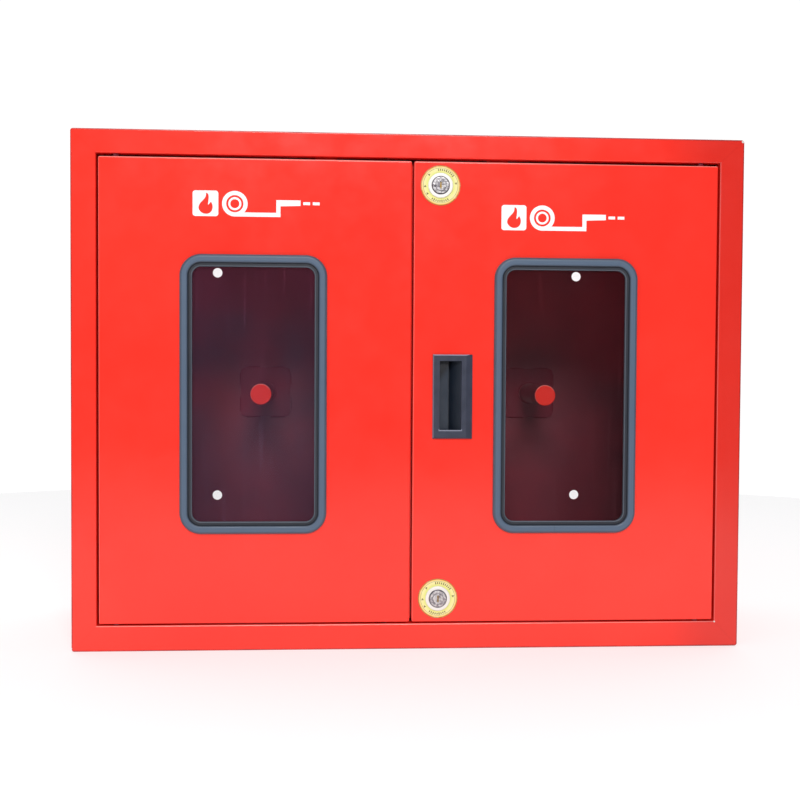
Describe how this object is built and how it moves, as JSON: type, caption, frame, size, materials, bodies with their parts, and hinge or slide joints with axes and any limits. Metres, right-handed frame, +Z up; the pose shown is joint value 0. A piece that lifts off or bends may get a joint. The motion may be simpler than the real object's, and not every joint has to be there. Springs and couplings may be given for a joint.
{
  "type": "fire hose cabinet",
  "caption": "Shallow sheet-steel cabinet for a fire hose, with glazed swing doors, cam locks, a flush pull, slide bolts and hose pegs, fixed through its back.",
  "frame": {"origin": "bottom centre of the whole cabinet, where it stands on a surface", "axes": "+Z up, doors face -Y, +Y runs to the wall, +X to the right as seen from the front"},
  "size_m": [0.75, 0.2546, 0.575],
  "materials": {
    "red_enamel": "gloss enamel on sheet steel",
    "zinc_plated_steel": "bright zinc plate",
    "chrome_plate": "polished chrome plate on die-cast zinc",
    "grey_rubber": "extruded satin rubber",
    "clear_glass": "clear float glass",
    "white_vinyl": "cut vinyl film",
    "yellow_vinyl": "printed vinyl film",
    "black_plastic": "moulded, fine spark texture",
    "black_rubber": "moulded"
  },
  "bodies": {
    "cabinet": {"top_panel": "red_enamel", "bottom_panel": "red_enamel", "left_side_panel": "red_enamel", "right_side_panel": "red_enamel", "back_panel": "red_enamel", "hinge_pins": "zinc_plated_steel", "hinge_washers": "red_enamel", "door_stops": "red_enamel", "door_buffers": "black_rubber", "left_hose_peg": "red_enamel", "left_peg_cap": "red_enamel", "left_peg_plate": "red_enamel", "right_hose_peg": "red_enamel", "right_peg_cap": "red_enamel", "right_peg_plate": "red_enamel"},
    "left_door": {"left_door_leaf": "red_enamel", "left_window_gasket": "grey_rubber", "left_window_glass": "clear_glass", "left_hinge_bushes": "zinc_plated_steel", "left_door_film": "white_vinyl", "meeting_strip": "red_enamel", "bottom_bolt_guide": "zinc_plated_steel", "top_bolt_guide": "zinc_plated_steel"},
    "right_door": {"right_door_leaf": "red_enamel", "right_window_gasket": "grey_rubber", "right_window_glass": "clear_glass", "right_hinge_bushes": "zinc_plated_steel", "right_door_film": "white_vinyl", "flush_pull": "black_plastic", "bottom_lock_label": "yellow_vinyl", "bottom_lock_housing": "chrome_plate", "bottom_lock_nut": "zinc_plated_steel", "top_lock_label": "yellow_vinyl", "top_lock_housing": "chrome_plate", "top_lock_nut": "zinc_plated_steel"},
    "bottom_lock": {"bottom_lock_plug": "chrome_plate", "bottom_lock_cam": "zinc_plated_steel", "bottom_lock_washer": "zinc_plated_steel", "bottom_lock_screw": "zinc_plated_steel"},
    "bottom_bolt": {"bottom_bolt_rod": "zinc_plated_steel", "bottom_bolt_knob": "black_plastic"},
    "top_lock": {"top_lock_plug": "chrome_plate", "top_lock_cam": "zinc_plated_steel", "top_lock_washer": "zinc_plated_steel", "top_lock_screw": "zinc_plated_steel"},
    "top_bolt": {"top_bolt_rod": "zinc_plated_steel", "top_bolt_knob": "black_plastic"}
  },
  "joints": [
    {"name": "left_door_swing", "type": "hinge", "parent": "cabinet", "child": "left_door", "pos_m": [-0.3265, -0.11575, 0.2875], "axis": [0, 0, -1], "range_deg": [0, 110]},
    {"name": "right_door_swing", "type": "hinge", "parent": "cabinet", "child": "right_door", "pos_m": [0.3265, -0.11575, 0.2875], "axis": [0, 0, 1], "range_deg": [0, 110]},
    {"name": "top_lock_turn", "type": "hinge", "parent": "right_door", "child": "top_lock", "pos_m": [0.03055, -0.12275, 0.5185], "axis": [0, -1, 0], "range_deg": [0, 90]},
    {"name": "bottom_lock_turn", "type": "hinge", "parent": "right_door", "child": "bottom_lock", "pos_m": [0.03055, -0.12275, 0.057], "axis": [0, 1, 0], "range_deg": [0, 90]},
    {"name": "top_bolt_slide", "type": "slide", "parent": "left_door", "child": "top_bolt", "axis": [0, 0, 1], "range_m": [0, 0.012]},
    {"name": "bottom_bolt_slide", "type": "slide", "parent": "left_door", "child": "bottom_bolt", "axis": [0, 0, -1], "range_m": [0, 0.012]}
  ]
}
